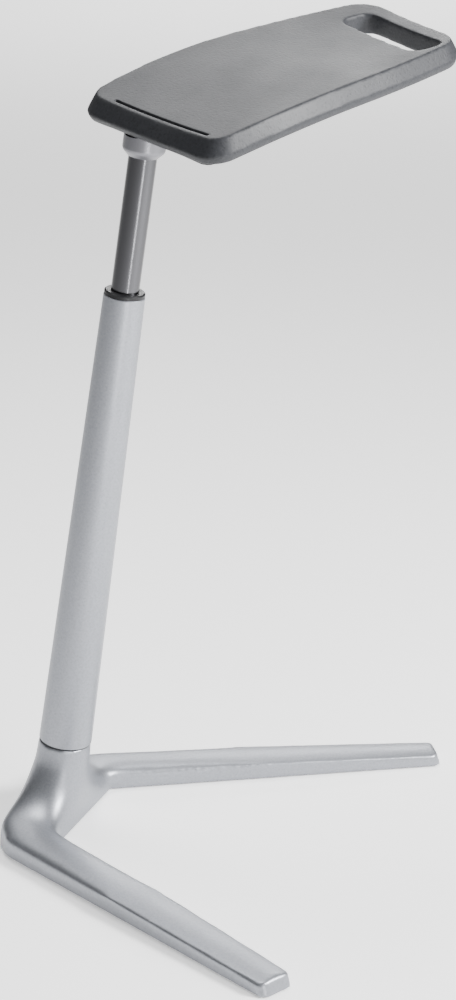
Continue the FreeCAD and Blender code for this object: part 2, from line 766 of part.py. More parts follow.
def half_width(along):
    """Half the width of the top, from a curve through front, middle and rear."""
    share = along / SEAT_LENGTH
    front = SEAT_FRONT_HALF * (1 - share) * (1 - 2 * share)
    middle = 4 * SEAT_MIDDLE_HALF * share * (1 - share)
    rear = SEAT_REAR_HALF * share * (2 * share - 1)
    return front + middle + rear


def stations(start, end, count):
    """Evenly spaced lengths."""
    return [start + (end - start) * index / (count - 1) for index in range(count)]


def cushion_section(along):
    """Cross-section of the foam: dished top, bevels, skirts and a flat underside."""
    half = half_width(along)
    wide = half + SEAT_SIDE_BEVEL
    low = wide - SEAT_SKIRT_INSET
    left = [seat_point(along, -half, 0), seat_point(along, -wide, SEAT_BEVEL_DROP), seat_point(along, -low, SEAT_EDGE)]
    right = [seat_point(along, half, 0), seat_point(along, wide, SEAT_BEVEL_DROP), seat_point(along, low, SEAT_EDGE)]
    edges = [
        Part.Arc(left[0], seat_point(along, 0, SEAT_DISH), right[0]).toShape(),
        Part.LineSegment(right[0], right[1]).toShape(),
        Part.LineSegment(right[1], right[2]).toShape(),
        Part.LineSegment(right[2], left[2]).toShape(),
        Part.LineSegment(left[2], left[1]).toShape(),
        Part.LineSegment(left[1], left[0]).toShape(),
    ]
    return Part.Wire(edges)


def end_cutter(bevel, sign):
    """What the bevelled end leaves out, ahead of a rim at the frame's origin; sign points outwards."""
    reach = SEAT_MIDDLE_HALF + SEAT_OVERRUN
    slope = bevel / SEAT_BEVEL_DROP
    high = SEAT_BEVEL_DROP
    deep = SEAT_EDGE + 2 * PAN_DEPTH
    skirt = SEAT_SKIRT_INSET / SEAT_SKIRT_DROP * (deep - SEAT_BEVEL_DROP)
    outside = 2 * SEAT_OVERRUN
    points = [
        (-sign * slope * high, -reach, high),
        (sign * bevel, -reach, -SEAT_BEVEL_DROP),
        (sign * (bevel - skirt), -reach, -deep),
        (sign * outside, -reach, -deep),
        (sign * outside, -reach, high),
    ]
    return Part.Face(polygon(points)).extrude(Vector(0, 2 * reach, 0))


def front_placement():
    """Frame at the middle of the front rim, turned by its skew."""
    return Placement(ORIGIN, Rotation(Z_AXIS, SEAT_FRONT_SKEW))


def rear_placement(along):
    """Frame on the straight part of the seat, turned by the rear skew."""
    turn = Placement(ORIGIN, Rotation(Z_AXIS, -SEAT_REAR_SKEW))
    return spine_placement(along).multiply(turn)


def corner_cutter(frame, skew, sign, side, bevel, length, radius):
    """What a rounded corner leaves out, where an end meets a side; sign points outwards along the seat."""
    deep = SEAT_EDGE + 2 * PAN_DEPTH
    skirt = SEAT_SKIRT_INSET / SEAT_SKIRT_DROP * (deep - SEAT_BEVEL_DROP)
    slope = side * (half_width(length + 1) - half_width(length - 1)) / 2
    end_line = Vector(math.sin(math.radians(skew)), -math.cos(math.radians(skew)), 0) * side
    side_line = Vector(-sign, -sign * slope, 0).normalize()
    wires = []
    for height, end_grow, side_grow, round_ in (
        (SEAT_BEVEL_DROP, -bevel, -SEAT_SIDE_BEVEL, radius - SEAT_SIDE_BEVEL),
        (-SEAT_BEVEL_DROP, bevel, SEAT_SIDE_BEVEL, radius + SEAT_SIDE_BEVEL),
        (-deep, bevel - skirt, SEAT_SIDE_BEVEL - skirt, radius + SEAT_SIDE_BEVEL - skirt),
    ):
        base = Vector(sign * end_grow, 0, height)
        edge = Vector(0, side * (half_width(length) + side_grow), height)
        apart = edge - base
        along = (apart.x * side_line.y - apart.y * side_line.x) / (end_line.x * side_line.y - end_line.y * side_line.x)
        corner = base + end_line * along
        half = math.acos(end_line.dot(side_line)) / 2
        first = corner + end_line * (round_ / math.tan(half))
        last = corner + side_line * (round_ / math.tan(half))
        inward = (end_line + side_line).normalize()
        middle = corner + inward * (round_ / math.sin(half) - round_)
        out_first = first - (side_line - end_line * end_line.dot(side_line)).normalize() * SEAT_OVERRUN
        out_last = last - (end_line - side_line * end_line.dot(side_line)).normalize() * SEAT_OVERRUN
        wires.append(Part.Wire([
            Part.Arc(first, middle, last).toShape(),
            Part.LineSegment(last, out_last).toShape(),
            Part.LineSegment(out_last, corner - inward * 2 * SEAT_OVERRUN).toShape(),
            Part.LineSegment(corner - inward * 2 * SEAT_OVERRUN, out_first).toShape(),
            Part.LineSegment(out_first, first).toShape(),
        ]))
    return placed(Part.makeLoft(wires, True, True), frame)


def seat_corners():
    """Cutters of the four corners of the seat."""
    front = Placement()
    rear = spine_placement(SEAT_LENGTH)
    cutters = []
    for side in (-1, 1):
        cutters.append(corner_cutter(front, SEAT_FRONT_SKEW, -1, side, SEAT_FRONT_BEVEL, 0, SEAT_FRONT_CORNER))
        cutters.append(corner_cutter(rear, -SEAT_REAR_SKEW, 1, side, SEAT_REAR_BEVEL, SEAT_LENGTH, SEAT_REAR_CORNER))
    return cutters


def slot_block(margin, depth):
    """Rounded block along the handle slot, grown by a margin."""
    half = SLOT_HALF_LENGTH + margin
    block_ = rounded_block(-margin, SLOT_WIDTH + margin, SLOT_SHIFT - half, SLOT_SHIFT + half, -depth, depth,
                           SLOT_CORNER + margin)
    return placed(block_, rear_placement(SLOT_START))


def bent_slab(start, end, top, bottom):
    """Band of the seat's spine between two depths, over the full width."""
    reach = SEAT_MIDDLE_HALF + SEAT_OVERRUN
    middle = min(end, SEAT_BEND_LENGTH)
    corners = []
    for depth in (top, bottom):
        corners.append([seat_point(along, -reach, depth) for along in (start, (start + middle) / 2, middle, end)])
    upper, lower = corners
    edges = [Part.Arc(upper[0], upper[1], upper[2]).toShape()]
    if end > SEAT_BEND_LENGTH:
        edges.append(Part.LineSegment(upper[2], upper[3]).toShape())
    edges.append(Part.LineSegment(upper[3], lower[3]).toShape())
    if end > SEAT_BEND_LENGTH:
        edges.append(Part.LineSegment(lower[3], lower[2]).toShape())
    edges.append(Part.Arc(lower[2], lower[1], lower[0]).toShape())
    edges.append(Part.LineSegment(lower[0], upper[0]).toShape())
    return Part.Face(Part.Wire(edges)).extrude(Vector(0, 2 * reach, 0))


def axis_cylinder(radius, bottom, top):
    """Cylinder about the column's axis, given in the seat frame."""
    local = seat_placement().inverse().multiply(column_placement())
    return placed(disc(radius, bottom, top), local)


def axis_x(depth):
    """Where the column's axis is at a depth under the top, along the seat."""
    return SEAT_SETBACK - depth * math.tan(math.radians(SEAT_PITCH))


def tapered_prism(start, end, margin, corner):
    """Upright prism with rounded corners, a margin inside the sides of the seat's top."""
    front_half = half_width(start) - margin
    rear_half = half_width(end) - margin
    outline = [(start, -front_half, 0), (end, -rear_half, 0), (end, rear_half, 0), (start, front_half, 0)]
    prism = Part.Face(polygon(outline)).extrude(Vector(0, 0, -SEAT_LENGTH / 2))
    return prism.makeFillet(corner, upright_edges(prism))


def insert_local():
    """Stiffener in the seat frame: a bent plate that stops short of the handle slot."""
    slab = bent_slab(PLATE_FRONT, PAN_END, INSERT_DEPTH, INSERT_BOTTOM)
    return slab.common(tapered_prism(PLATE_FRONT, PAN_END, INSERT_MARGIN, INSERT_CORNER))


def plate_screw_places():
    """Frames of the screws that hold the carrier plate, on its underside."""
    places = []
    for along in (PLATE_FRONT + SCREW_INSET, PLATE_REAR - SCREW_INSET):
        for side in (-1, 1):
            places.append(spine_placement(along, side * (PLATE_HALF - SCREW_INSET), PLATE_BOTTOM))
    return places


def plate_screw(gap):
    """Screw from below through plate and stiffener, or its hole when grown by a gap."""
    length = PLATE_THICKNESS + INSERT_THICKNESS
    return disc(SCREW_RADIUS + gap, 0, length).fuse(disc(SCREW_HEAD_RADIUS + gap, -SCREW_HEAD_HEIGHT, 0))


def pan_screw_places():
    """Frames of the screws that hold the cover, at the cover's outer face."""
    places = []
    for along in (PAN_SCREW_START, PAN_SCREW_END):
        for side in (-1, 1):
            places.append(spine_placement(along, side * PAN_SCREW_SPREAD, PAN_BOTTOM))
    return places


def pan_screw(gap):
    """Long screw from the cover to the stiffener."""
    head = disc(SCREW_HEAD_RADIUS + gap, 0, SCREW_HEAD_HEIGHT)
    return disc(SCREW_RADIUS + gap, 0, PAN_BOTTOM - INSERT_DEPTH).fuse(head)


def placed_pan_screws(gap):
    """All the cover's screws in the seat frame."""
    return [placed(pan_screw(gap), place) for place in pan_screw_places()]


def lever_room():
    """Space for the lever and its paddle, from the stiffener down through the cover."""
    half = PADDLE_HALF + 2 * FREE_GAP
    x0 = PAN_OPENING_START
    room = rounded_block(x0, PAN_OPENING_END, SEAT_OFFSET - half, SEAT_OFFSET + half, -2 * SEAT_EDGE, 0,
                         PAN_OPENING_CORNER)
    below = bent_slab(x0 - SEAT_OVERRUN, PAN_OPENING_END + SEAT_OVERRUN, INSERT_BOTTOM, 3 * SEAT_EDGE)
    return room.common(below)


def plate_room():
    """Pocket for the carrier plate in the underside of the foam."""
    slab = bent_slab(PLATE_FRONT, PLATE_REAR + FREE_GAP, INSERT_BOTTOM, SEAT_EDGE + FREE_GAP)
    half = PLATE_HALF + FREE_GAP
    return slab.common(rounded_block(PLATE_FRONT, PLATE_REAR + FREE_GAP, -half, half, -2 * SEAT_EDGE, 0, PLATE_CORNER))


def seat_cushion():
    """Foam seat with bevelled edges, front groove and handle slot."""
    sections = [cushion_section(along) for along in stations(-SEAT_OVERRUN, SEAT_LENGTH + SEAT_OVERRUN, SEAT_STATIONS)]
    body = Part.makeLoft(sections, True, False)
    body = body.cut(placed(end_cutter(SEAT_FRONT_BEVEL, -1), front_placement()))
    body = body.cut(placed(end_cutter(SEAT_REAR_BEVEL, 1), rear_placement(SEAT_LENGTH)))
    body = body.cut(seat_corners())
    groove = block(GROOVE_SETBACK - GROOVE_WIDTH / 2, GROOVE_SETBACK + GROOVE_WIDTH / 2, GROOVE_SHIFT - GROOVE_HALF,
                   GROOVE_SHIFT + GROOVE_HALF, -SEAT_DISH - GROOVE_DEPTH, SEAT_DISH)
    neck = axis_cylinder(NECK_RADIUS + FREE_GAP, COLLAR_HEIGHT - TAPER_LENGTH, SEAT_HEIGHT)
    neck = neck.common(bent_slab(-SEAT_OVERRUN, SEAT_OVERRUN * 2, INSERT_BOTTOM, 2 * SEAT_EDGE))
    cutters = [slot_block(0, 2 * SEAT_EDGE), placed(groove, front_placement()), insert_local(), plate_room(),
               lever_room(), neck]
    cutters.extend(placed_pan_screws(PRESS_GAP))
    return placed(body.cut(cutters), seat_placement())


def seat_insert():
    """Stiffener with holes for its screws."""
    holes = [placed(plate_screw(PRESS_GAP), place) for place in plate_screw_places()]
    holes.extend(placed_pan_screws(PRESS_GAP))
    return placed(insert_local().cut(holes), seat_placement())


def pan_slab(inset, top, bottom):
    """Bent plate with the cover's outline, or an outline inside it."""
    slab = bent_slab(PAN_START + inset, PAN_END - inset, top, bottom)
    margin = PAN_MARGIN - SEAT_SIDE_BEVEL + SEAT_SKIRT_INSET + inset
    return slab.common(tapered_prism(PAN_START + inset, PAN_END - inset, margin, PAN_CORNER - inset))


def seat_pan():
    """Stepped cover under the foam, open round the collar and the lever."""
    top = SEAT_EDGE + SEAT_GAP
    body = pan_slab(0, top, PAN_BOTTOM - PAN_WALL).fuse(pan_slab(PAN_STEP, top, PAN_BOTTOM))
    hollow = pan_slab(PAN_STEP + FREE_GAP, SEAT_EDGE, PAN_BOTTOM - PAN_WALL)
    boss = disc(SCREW_HEAD_RADIUS + PAN_WALL, -PAN_DEPTH, 2 * PAN_DEPTH)
    walls = [placed(boss, place) for place in pan_screw_places()]
    opening = COLLAR_RADIUS + FREE_GAP
    walls.append(axis_cylinder(opening + PAN_WALL, COLLAR_HEIGHT - TAPER_LENGTH, SEAT_HEIGHT))
    collar = axis_cylinder(opening, COLLAR_HEIGHT - TAPER_LENGTH, SEAT_HEIGHT)
    body = body.cut(collar).cut(hollow.cut(walls)).cut(lever_room())
    return placed(body.cut(placed_pan_screws(PRESS_GAP)), seat_placement())


def pan_screws():
    """Screws that hold the cover."""
    return placed(Part.makeCompound(placed_pan_screws(0)), seat_placement())


def ear(side):
    """One ear under the carrier plate that holds the lever's pivot."""
    inner = LEVER_WIDTH / 2 + SEAT_GAP
    y0, y1 = sorted((SEAT_OFFSET + side * inner, SEAT_OFFSET + side * (inner + EAR_THICKNESS)))
    x = axis_x(LEVER_TOP) + LEVER_PIVOT
    return block(x - EAR_LENGTH / 2, x + EAR_LENGTH / 2, y0, y1, -PIVOT_DEPTH - LEVER_EYE_RADIUS, -INSERT_BOTTOM - FREE_GAP)


def pivot_axis(radius, half):
    """Cylinder across the seat at the lever's pivot."""
    x = axis_x(LEVER_TOP) + LEVER_PIVOT
    return Part.makeCylinder(radius, 2 * half, Vector(x, SEAT_OFFSET - half, -PIVOT_DEPTH), Y_AXIS)


def seat_plate():
    """Steel carrier plate with ears for the lever."""
    slab = bent_slab(PLATE_FRONT, PLATE_REAR, INSERT_BOTTOM, PLATE_BOTTOM)
    plate = slab.common(rounded_block(PLATE_FRONT, PLATE_REAR, -PLATE_HALF, PLATE_HALF, -2 * SEAT_EDGE, 0, PLATE_CORNER))
    plate = plate.multiFuse([ear(-1), ear(1)])
    holes = [placed(plate_screw(PRESS_GAP), place) for place in plate_screw_places()]
    holes.append(pivot_axis(PIVOT_RADIUS + PRESS_GAP, LEVER_WIDTH))
    return placed(plate.cut(holes), seat_placement())


def plate_screws():
    """Screws that hold the carrier plate."""
    screws = [placed(plate_screw(0), place) for place in plate_screw_places()]
    return placed(Part.makeCompound(screws), seat_placement())


def cone_collar():
    """Collar welded under the carrier plate, bored for the cylinder's taper, with a channel for the lever."""
    low = COLLAR_HEIGHT
    top = SEAT_HEIGHT
    profile = [
        (0, low),
        (COLLAR_RADIUS - COLLAR_ROUND, low),
        (COLLAR_RADIUS, low + COLLAR_ROUND),
        (COLLAR_RADIUS, top),
        (0, top),
    ]
    local = seat_placement().inverse().multiply(column_placement())
    wide = revolved(profile)
    rim = [edge for edge in wide.Edges if abs(edge.BoundBox.ZMax - low - COLLAR_ROUND) < 0.01 and edge.BoundBox.ZLength < 0.01]
    wide = placed(wide.makeFillet(COLLAR_ROUND, rim), local)
    wide = wide.common(bent_slab(-2 * SEAT_OVERRUN, 2 * SEAT_OVERRUN, SEAT_EDGE + SEAT_GAP, 4 * SEAT_EDGE))
    neck = axis_cylinder(NECK_RADIUS, low + COLLAR_ROUND, top)
    neck = neck.common(bent_slab(-2 * SEAT_OVERRUN, 2 * SEAT_OVERRUN, PLATE_BOTTOM, 4 * SEAT_EDGE))
    bore = Part.makeCone(CYLINDER_RADIUS + PRESS_GAP, TAPER_TOP_RADIUS + PRESS_GAP, TAPER_LENGTH, Vector(0, 0, low))
    bore = bore.fuse(disc(TAPER_TOP_RADIUS + PRESS_GAP, TAPER_TOP, top))
    half = LEVER_WIDTH / 2 + FREE_GAP
    channel = block(axis_x(LEVER_TOP), axis_x(0) + 2 * NECK_RADIUS, SEAT_OFFSET - half, SEAT_OFFSET + half,
                    -SEAT_EDGE - 3 * LEVER_THICKNESS, 0)
    return placed(wide.fuse(neck).cut([placed(bore, local), channel]), seat_placement())


def lever_path():
    """Corners of the lever's middle line, along the seat and under its top."""
    pivot = axis_x(LEVER_TOP) + LEVER_PIVOT
    middle = LEVER_TOP + LEVER_THICKNESS / 2
    return [
        (axis_x(LEVER_TOP) - LEVER_TIP, -middle),
        (pivot, -middle),
        (pivot + LEVER_BEND, -middle - LEVER_FALL),
        (pivot + LEVER_REACH, -middle - LEVER_REACH_FALL),
    ]


def lever_bar(gap):
    """Bent flat bar along the lever's path, or its room when grown by a gap."""
    half = LEVER_THICKNESS / 2 + gap
    path = lever_path()
    upper = [(x, 0, z + half) for x, z in path]
    lower = [(x, 0, z - half) for x, z in reversed(path)]
    bar = Part.Face(polygon(upper + lower)).extrude(Vector(0, LEVER_WIDTH + 2 * gap, 0))
    bar.translate(Vector(0, SEAT_OFFSET - LEVER_WIDTH / 2 - gap, 0))
    return bar


def release_lever():
    """Lever that presses the pin when its rear end is pulled up."""
    body = lever_bar(0).fuse(pivot_axis(LEVER_EYE_RADIUS, LEVER_WIDTH / 2))
    return placed(body.cut(pivot_axis(PIVOT_RADIUS + RUNNING_FIT, LEVER_WIDTH)), seat_placement())


def lever_pin():
    """Pivot of the lever, held in the ears."""
    half = LEVER_WIDTH / 2 + SEAT_GAP + EAR_THICKNESS
    return placed(pivot_axis(PIVOT_RADIUS, half), seat_placement())


def lever_paddle():
    """Finger paddle on the lever's end."""
    x, z = lever_path()[-1]
    start = x - PADDLE_LENGTH / 2
    body = block(start, start + PADDLE_LENGTH, SEAT_OFFSET - PADDLE_HALF, SEAT_OFFSET + PADDLE_HALF,
                 z - PADDLE_THICKNESS / 2, z + PADDLE_THICKNESS / 2)
    body = body.makeFillet(PADDLE_ROUND, body.Edges)
    return placed(body.cut(lever_bar(PRESS_GAP)), seat_placement())


PIECES = (
    foot_casting, heel_glide, toe_glides, glide_screws, joint_ring, column_tube, column_plug, column_bolt, bolt_washer,
    base_disc, thrust_lower_race, thrust_cage, thrust_balls, thrust_upper_race, rod_clip, bump_stop, guide_bush,
    piston_rod, piston, cylinder, cylinder_end_guide, cylinder_seal, valve_body, release_pin, cone_collar, seat_plate,
    plate_screws, seat_insert, seat_cushion, seat_pan, pan_screws, release_lever, lever_pin, lever_paddle,
)


def main():
    """Write one STEP file per piece."""
    os.makedirs("parts", exist_ok=True)
    for piece in PIECES:
        shape = piece()
        if not shape.isValid():
            raise ValueError(piece.__name__ + " is not valid")
        shape.exportStep(os.path.join("parts", piece.__name__ + ".step"))
        print(piece.__name__, len(shape.Solids), round(shape.Volume))


main()
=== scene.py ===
"""Perch stool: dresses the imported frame, moulds its seat and foot and sets the studio round them."""

import logging
import math
from collections.abc import Iterable
from dataclasses import dataclass, field
from enum import Enum

import bmesh
import bpy
from mathutils import Matrix, Vector


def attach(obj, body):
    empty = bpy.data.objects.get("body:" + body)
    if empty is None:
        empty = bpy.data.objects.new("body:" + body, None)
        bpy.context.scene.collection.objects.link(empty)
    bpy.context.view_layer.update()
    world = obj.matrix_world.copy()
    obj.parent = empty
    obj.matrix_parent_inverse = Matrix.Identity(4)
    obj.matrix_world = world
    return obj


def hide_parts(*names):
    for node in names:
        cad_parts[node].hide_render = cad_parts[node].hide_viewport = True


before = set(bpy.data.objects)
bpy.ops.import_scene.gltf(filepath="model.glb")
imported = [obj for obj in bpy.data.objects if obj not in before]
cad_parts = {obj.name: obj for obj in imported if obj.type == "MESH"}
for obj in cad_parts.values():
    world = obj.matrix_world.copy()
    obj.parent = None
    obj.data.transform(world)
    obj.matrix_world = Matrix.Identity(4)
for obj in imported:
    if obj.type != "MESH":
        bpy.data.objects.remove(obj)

LOG = logging.getLogger("perch_stool")

Colour = tuple[float, float, float, float]
Point = tuple[float, float, float]

# Mean value of a noise texture, distance from a pore's middle to its wall, and shade without any change
NOISE_MEAN = 0.5
PORE_EDGE = 0.45
PLAIN_SHADE = 1.0

# Edges in one rounded corner, and the share that means a round profile or half of a way
CORNER_SEGMENTS = 10
HALF_WAY = 0.5

# Lean of the column, and height at which its axis leaves the hub
COLUMN_LEAN = math.radians(8.65)
RING_HEIGHT = 0.0916


class Effect(Enum):
    """Shader node groups that more than one finish uses."""

    GRAIN = "surface_grain"
    HANDLING = "handling_marks"


# Shader help


@dataclass
class NodeSheet:
    """Lays out nodes in one node tree.

    Attributes:
        tree: The node tree.
        column: How many nodes are laid out so far.
        step_across: Distance between neighbouring nodes, across.
        step_down: Distance between neighbouring nodes, down.
        rows: How many rows the nodes fall into.
    """

    tree: bpy.types.NodeTree
    column: int = 0
    step_across: int = 190
    step_down: int = 150
    rows: int = 4

    def add(self, kind: str, **values: object) -> bpy.types.Node:
        """Add a node and set its properties and inputs.

        Args:
            kind: Blender's name of the node type.
            **values: Properties by name, or inputs by name with underscores for spaces.

        Returns:
            The new node.
        """
        node = self.tree.nodes.new(kind)
        node.location = (self.column * self.step_across, -(self.column % self.rows) * self.step_down)
        self.column += 1
        for name, value in values.items():
            label = name.replace("_", " ")
            if label in node.inputs:
                node.inputs[label].default_value = value
            else:
                setattr(node, name, value)
        return node

    def link(self, source: bpy.types.NodeSocket, target: bpy.types.NodeSocket) -> None:
        """Join two sockets."""
        self.tree.links.new(source, target)


def new_group(effect: Effect, inputs: dict[str, float], outputs: tuple[str, ...]) -> NodeSheet:
    """Start a node group that takes a vector and some numbers.

    Args:
        effect: The effect that the group makes.
        inputs: Name and default of each number.
        outputs: Name of each result, a number too.

    Returns:
        A sheet on the group's empty tree.
    """
    tree = bpy.data.node_groups.new(effect.value, "ShaderNodeTree")
    tree.interface.new_socket("Vector", in_out="INPUT", socket_type="NodeSocketVector")
    for label, value in inputs.items():
        socket = tree.interface.new_socket(label, in_out="INPUT", socket_type="NodeSocketFloat")
        socket.default_value = value
    for label in outputs:
        tree.interface.new_socket(label, in_out="OUTPUT", socket_type="NodeSocketFloat")
    return NodeSheet(tree)


def grain_group() -> bpy.types.NodeTree:
    """Group for fine grain: a shade that varies and a height for bump.

    Returns:
        The node group, built once.
    """
    if Effect.GRAIN.value in bpy.data.node_groups:
        return bpy.data.node_groups[Effect.GRAIN.value]
    sheet = new_group(Effect.GRAIN, {"Scale": 900.0, "Pores": 0.5, "Contrast": 0.1}, ("Shade", "Height"))
    entry = sheet.add("NodeGroupInput")
    leave = sheet.add("NodeGroupOutput")
    noise = sheet.add("ShaderNodeTexNoise", Detail=4.0, Roughness=0.6)
    cells = sheet.add("ShaderNodeTexVoronoi", Randomness=1.0)
    pores = sheet.add("ShaderNodeMapRange", From_Max=PORE_EDGE)
    blend = sheet.add("ShaderNodeMix", data_type="FLOAT")
    centred = sheet.add("ShaderNodeMath", operation="SUBTRACT")
    centred.inputs[1].default_value = NOISE_MEAN
    scaled = sheet.add("ShaderNodeMath", operation="MULTIPLY")
    shade = sheet.add("ShaderNodeMath", operation="ADD")
    shade.inputs[1].default_value = PLAIN_SHADE
    sheet.link(entry.outputs["Vector"], noise.inputs["Vector"])
    sheet.link(entry.outputs["Vector"], cells.inputs["Vector"])
    sheet.link(entry.outputs["Scale"], noise.inputs["Scale"])
    sheet.link(entry.outputs["Scale"], cells.inputs["Scale"])
    sheet.link(cells.outputs["Distance"], pores.inputs["Value"])
    sheet.link(entry.outputs["Pores"], blend.inputs["Factor"])
    sheet.link(noise.outputs["Fac"], blend.inputs[2])
    sheet.link(pores.outputs["Result"], blend.inputs[3])
    sheet.link(blend.outputs[0], centred.inputs[0])
    sheet.link(centred.outputs[0], scaled.inputs[0])
    sheet.link(entry.outputs["Contrast"], scaled.inputs[1])
    sheet.link(scaled.outputs[0], shade.inputs[0])
    sheet.link(shade.outputs[0], leave.inputs["Shade"])
    sheet.link(blend.outputs[0], leave.inputs["Height"])
    return sheet.tree


def handling_group() -> bpy.types.NodeTree:
    """Group for slow changes of gloss where hands, cloths and feet touch.

    Returns:
        The node group, built once.
    """
    if Effect.HANDLING.value in bpy.data.node_groups:
        return bpy.data.node_groups[Effect.HANDLING.value]
    sheet = new_group(Effect.HANDLING, {"Roughness": 0.5, "Spread": 0.1, "Scale": 14.0}, ("Roughness",))
    entry = sheet.add("NodeGroupInput")
    leave = sheet.add("NodeGroupOutput")
    cloud = sheet.add("ShaderNodeTexNoise", Detail=3.0, Roughness=0.5)
    centred = sheet.add("ShaderNodeMath", operation="SUBTRACT")
    centred.inputs[1].default_value = NOISE_MEAN
    spread = sheet.add("ShaderNodeMath", operation="MULTIPLY")
    total = sheet.add("ShaderNodeMath", operation="ADD", use_clamp=True)
    sheet.link(entry.outputs["Vector"], cloud.inputs["Vector"])
    sheet.link(entry.outputs["Scale"], cloud.inputs["Scale"])
    sheet.link(cloud.outputs["Fac"], centred.inputs[0])
    sheet.link(centred.outputs[0], spread.inputs[0])
    sheet.link(entry.outputs["Spread"], spread.inputs[1])
    sheet.link(spread.outputs[0], total.inputs[0])
    sheet.link(entry.outputs["Roughness"], total.inputs[1])
    sheet.link(total.outputs[0], leave.inputs["Roughness"])
    return sheet.tree


@dataclass(frozen=True)
class Finish:
    """One surface finish: colour, gloss, grain and the marks of use.

    Attributes:
        name: Name of the material.
        colour: Base colour, linear.
        metallic: How metallic the surface is.
        roughness: Mean roughness.
        spread: How far the roughness wanders.
        grain: Grains per metre.
        pores: Share of round pores against plain noise.
        contrast: How far the grain changes the colour.
        relief: Height of the grain in metres.
        specular: Specular level.
    """

    name: str
    colour: Colour
    metallic: float = 0.0
    roughness: float = 0.5
    spread: float = 0.08
    grain: float = 900.0
    pores: float = 0.3
    contrast: float = 0.1
    relief: float = 0.00005
    specular: float = 0.5

    def build(self) -> bpy.types.Material:
        """Build the material.

        Returns:
            The material, with its grain and handling marks on object coordinates.
        """
        material = bpy.data.materials.new(self.name)
        material.use_nodes = True
        tree = material.node_tree
        tree.nodes.clear()
        sheet = NodeSheet(tree)
        place = sheet.add("ShaderNodeTexCoord")
        grain = sheet.add("ShaderNodeGroup", node_tree=grain_group())
        grain.inputs["Scale"].default_value = self.grain
        grain.inputs["Pores"].default_value = self.pores
        grain.inputs["Contrast"].default_value = self.contrast
        marks = sheet.add("ShaderNodeGroup", node_tree=handling_group())
        marks.inputs["Roughness"].default_value = self.roughness
        marks.inputs["Spread"].default_value = self.spread
        tint = sheet.add("ShaderNodeVectorMath", operation="SCALE")
        tint.inputs[0].default_value = self.colour[:3]
        bump = sheet.add("ShaderNodeBump", Distance=self.relief)
        shader = sheet.add("ShaderNodeBsdfPrincipled")
        shader.inputs["Metallic"].default_value = self.metallic
        shader.inputs["Specular IOR Level"].default_value = self.specular
        output = sheet.add("ShaderNodeOutputMaterial")
        sheet.link(place.outputs["Object"], grain.inputs["Vector"])
        sheet.link(place.outputs["Object"], marks.inputs["Vector"])
        sheet.link(grain.outputs["Shade"], tint.inputs["Scale"])
        sheet.link(tint.outputs[0], shader.inputs["Base Color"])
        sheet.link(marks.outputs["Roughness"], shader.inputs["Roughness"])
        sheet.link(grain.outputs["Height"], bump.inputs["Height"])
        sheet.link(bump.outputs["Normal"], shader.inputs["Normal"])
        sheet.link(shader.outputs["BSDF"], output.inputs["Surface"])
        material.diffuse_color = self.colour
        return material


SILVER_COAT = Finish("silver_powder_coat", (0.27, 0.28, 0.305, 1.0), metallic=0.8, roughness=0.42,
                     grain=380.0, pores=0.2, contrast=0.55, relief=0.00014)
COLLAR_COAT = Finish("collar_satin", (0.20, 0.20, 0.215, 1.0), metallic=0.8, roughness=0.34, spread=0.06,
                     grain=900.0, pores=0.1, contrast=0.2, relief=0.00005)
DARK_CHROME = Finish("dark_chrome", (0.085, 0.085, 0.09, 1.0), metallic=1.0, roughness=0.22, spread=0.06,
                     grain=500.0, pores=0.0, contrast=0.06, relief=0.0)
ZINC = Finish("bright_zinc", (0.60, 0.60, 0.58, 1.0), metallic=1.0, roughness=0.34, spread=0.12, grain=700.0,
              pores=0.2, contrast=0.10, relief=0.00002)
BLACK_PLASTIC = Finish("black_moulded_plastic", (0.008, 0.008, 0.009, 1.0), roughness=0.42,
                       grain=1500.0, pores=0.6, contrast=0.15, relief=0.00006, specular=0.3)
PALE_PLASTIC = Finish("natural_plastic", (0.72, 0.70, 0.62, 1.0), roughness=0.42, grain=800.0,
                      relief=0.00002)
BLACK_RUBBER = Finish("black_rubber", (0.012, 0.012, 0.012, 1.0), roughness=0.72, spread=0.1, grain=1100.0,
                      pores=0.4, contrast=0.2, relief=0.00008, specular=0.3)
SEAT_FOAM = Finish("moulded_seat_foam", (0.020, 0.021, 0.024, 1.0), roughness=0.50, spread=0.26, grain=300.0,
                   pores=0.3, contrast=1.3, relief=0.0003, specular=0.34)

NODE_FINISHES: dict[Finish, tuple[str, ...]] = {
    SILVER_COAT: ("foot_casting", "column_tube"),
    COLLAR_COAT: ("cone_collar",),
    DARK_CHROME: ("cylinder",),
    ZINC: ("glide_screws", "column_plug", "column_bolt", "bolt_washer", "base_disc", "thrust_lower_race",
           "thrust_balls", "thrust_upper_race", "rod_clip", "piston_rod", "piston", "release_pin",
           "seat_plate", "plate_screws", "seat_insert", "pan_screws", "release_lever", "lever_pin"),
    # The joint ring is black plastic, and its black also stands in for the shadow gap between the foot and
    # the column tube: painted shade.
    BLACK_PLASTIC: ("joint_ring", "guide_bush", "seat_pan", "lever_paddle"),
    PALE_PLASTIC: ("thrust_cage", "cylinder_end_guide", "valve_body"),
    BLACK_RUBBER: ("heel_glide", "toe_glides", "bump_stop", "cylinder_seal"),
}


@dataclass
class Wardrobe:
    """Dresses the frame's own nodes."""

    finishes: dict[Finish, tuple[str, ...]] = field(default_factory=lambda: dict(NODE_FINISHES))

    def dress(self) -> None:
        """Give each node its material."""
        for finish, nodes in self.finishes.items():
            material = finish.build()
            for name in nodes:
                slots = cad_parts[name].material_slots
                for slot in slots:
                    slot.material = material
            LOG.info("%s on %d nodes", finish.name, len(nodes))


# Mesh help


def to_object(shape: bmesh.types.BMesh, name: str) -> bpy.types.Object:
    """Turn a bmesh into an object in the scene and free it.

    Args:
        shape: The mesh, which is freed.
        name: Name of the object.

    Returns:
        The new object.
    """
    mesh = bpy.data.meshes.new(name)
    shape.to_mesh(mesh)
    shape.free()
    made = bpy.data.objects.new(name, mesh)
    bpy.context.scene.collection.objects.link(made)
    return made


